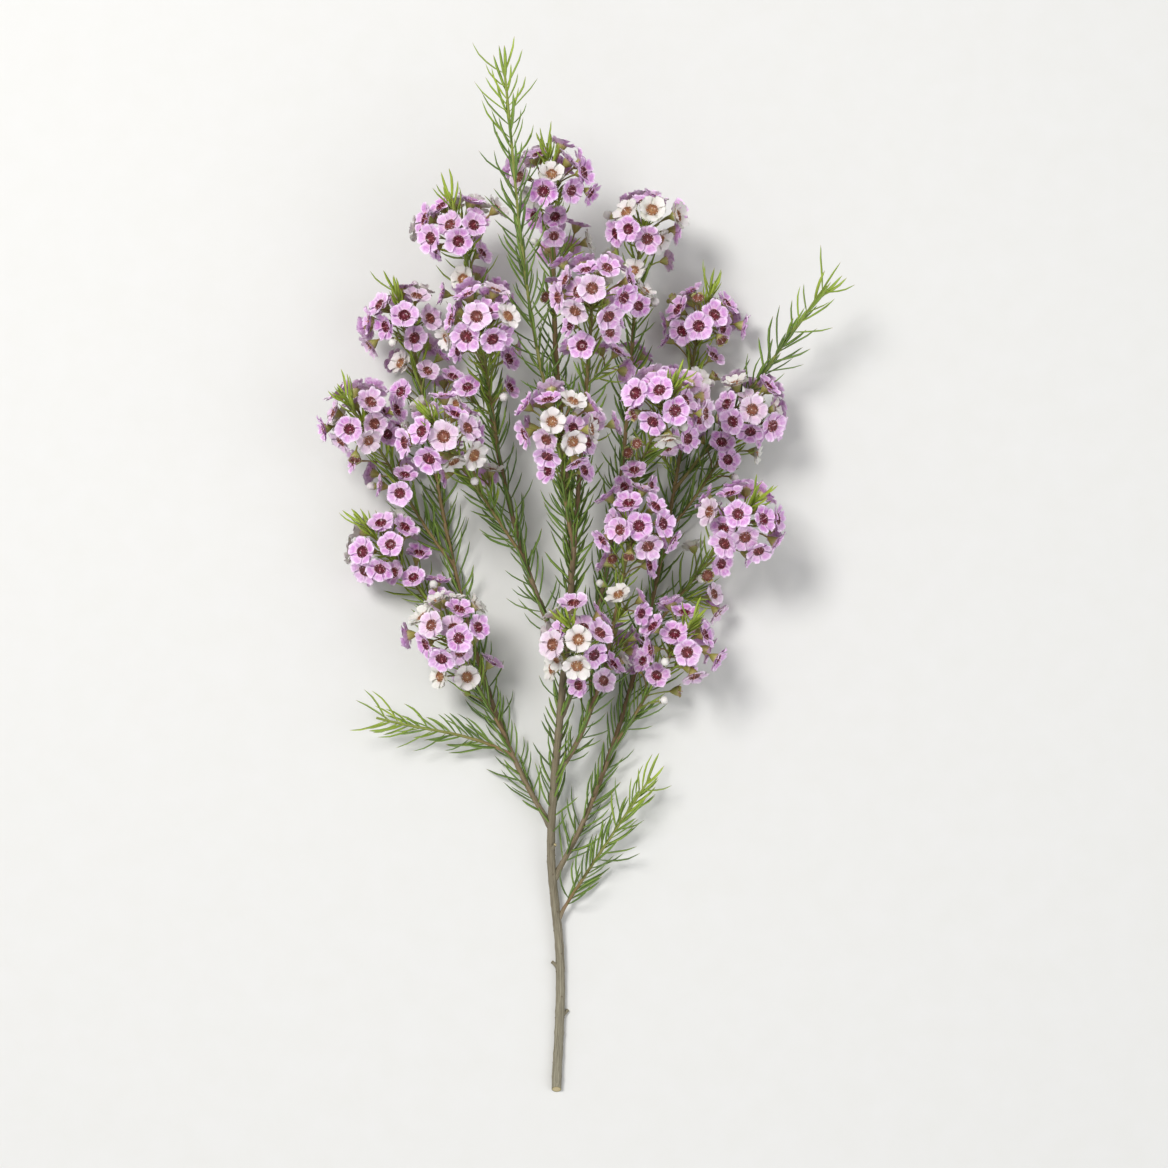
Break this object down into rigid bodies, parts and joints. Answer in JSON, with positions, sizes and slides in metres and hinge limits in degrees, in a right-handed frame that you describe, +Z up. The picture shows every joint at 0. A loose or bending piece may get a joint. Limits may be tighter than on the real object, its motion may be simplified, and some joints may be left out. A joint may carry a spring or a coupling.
{
  "type": "waxflower stem",
  "caption": "Cut flowering stem laid down: woody main stem, forked branches, needle leaves, domed sprays of small five-petalled flowers and buds.",
  "frame": {"origin": "under the middle of the stem's box, on the surface that it lies on", "axes": "+Y along the stem from the cut end to the top spray, +Z up from the surface"},
  "size_m": [0.2725, 0.5396, 0.1174],
  "materials": {
    "bark": "matte",
    "young_wood": "satin",
    "green_twig": "satin",
    "new_leaf": "satin",
    "flower": "waxy"
  },
  "bodies": {
    "root": {"woody_stem": "bark", "leader": "young_wood", "branch_right_low": "young_wood", "twig_right_low_1": "green_twig", "twig_right_low_2": "green_twig", "twig_right_low_3": "green_twig", "branch_left_low": "young_wood", "twig_left_low_1": "green_twig", "twig_left_low_2": "green_twig", "twig_left_low_3": "green_twig", "branch_middle": "young_wood", "twig_middle_1": "green_twig", "branch_right_high": "young_wood", "twig_right_high_1": "green_twig", "branch_left_high": "young_wood", "twig_left_high_1": "green_twig", "twig_left_high_2": "green_twig", "branch_top": "young_wood", "twig_top_1": "green_twig", "shoot_low": "green_twig", "shoot_left": "green_twig", "shoot_right": "green_twig", "shoot_top": "green_twig", "spray_top": "flower", "spray_right_low_end": "flower", "spray_right_low_1": "flower", "spray_right_low_2": "flower", "spray_right_low_3": "flower", "spray_left_low_end": "flower", "spray_left_low_1": "flower", "spray_left_low_2": "flower", "spray_left_low_3": "flower", "spray_middle_end": "flower", "spray_middle_1": "flower", "spray_right_high_end": "flower", "spray_right_high_1": "flower", "spray_left_high_end": "flower", "spray_left_high_1": "flower", "spray_left_high_2": "flower", "spray_top_end": "flower", "spray_top_1": "flower", "tuft_top": "new_leaf", "tuft_right_low_end": "new_leaf", "tuft_right_low_1": "new_leaf", "tuft_right_low_2": "new_leaf", "tuft_left_low_end": "new_leaf", "tuft_left_low_2": "new_leaf", "tuft_left_low_3": "new_leaf", "tuft_middle_1": "new_leaf", "tuft_right_high_1": "new_leaf", "tuft_left_high_end": "new_leaf", "tuft_left_high_1": "new_leaf"}
  },
  "joints": []
}
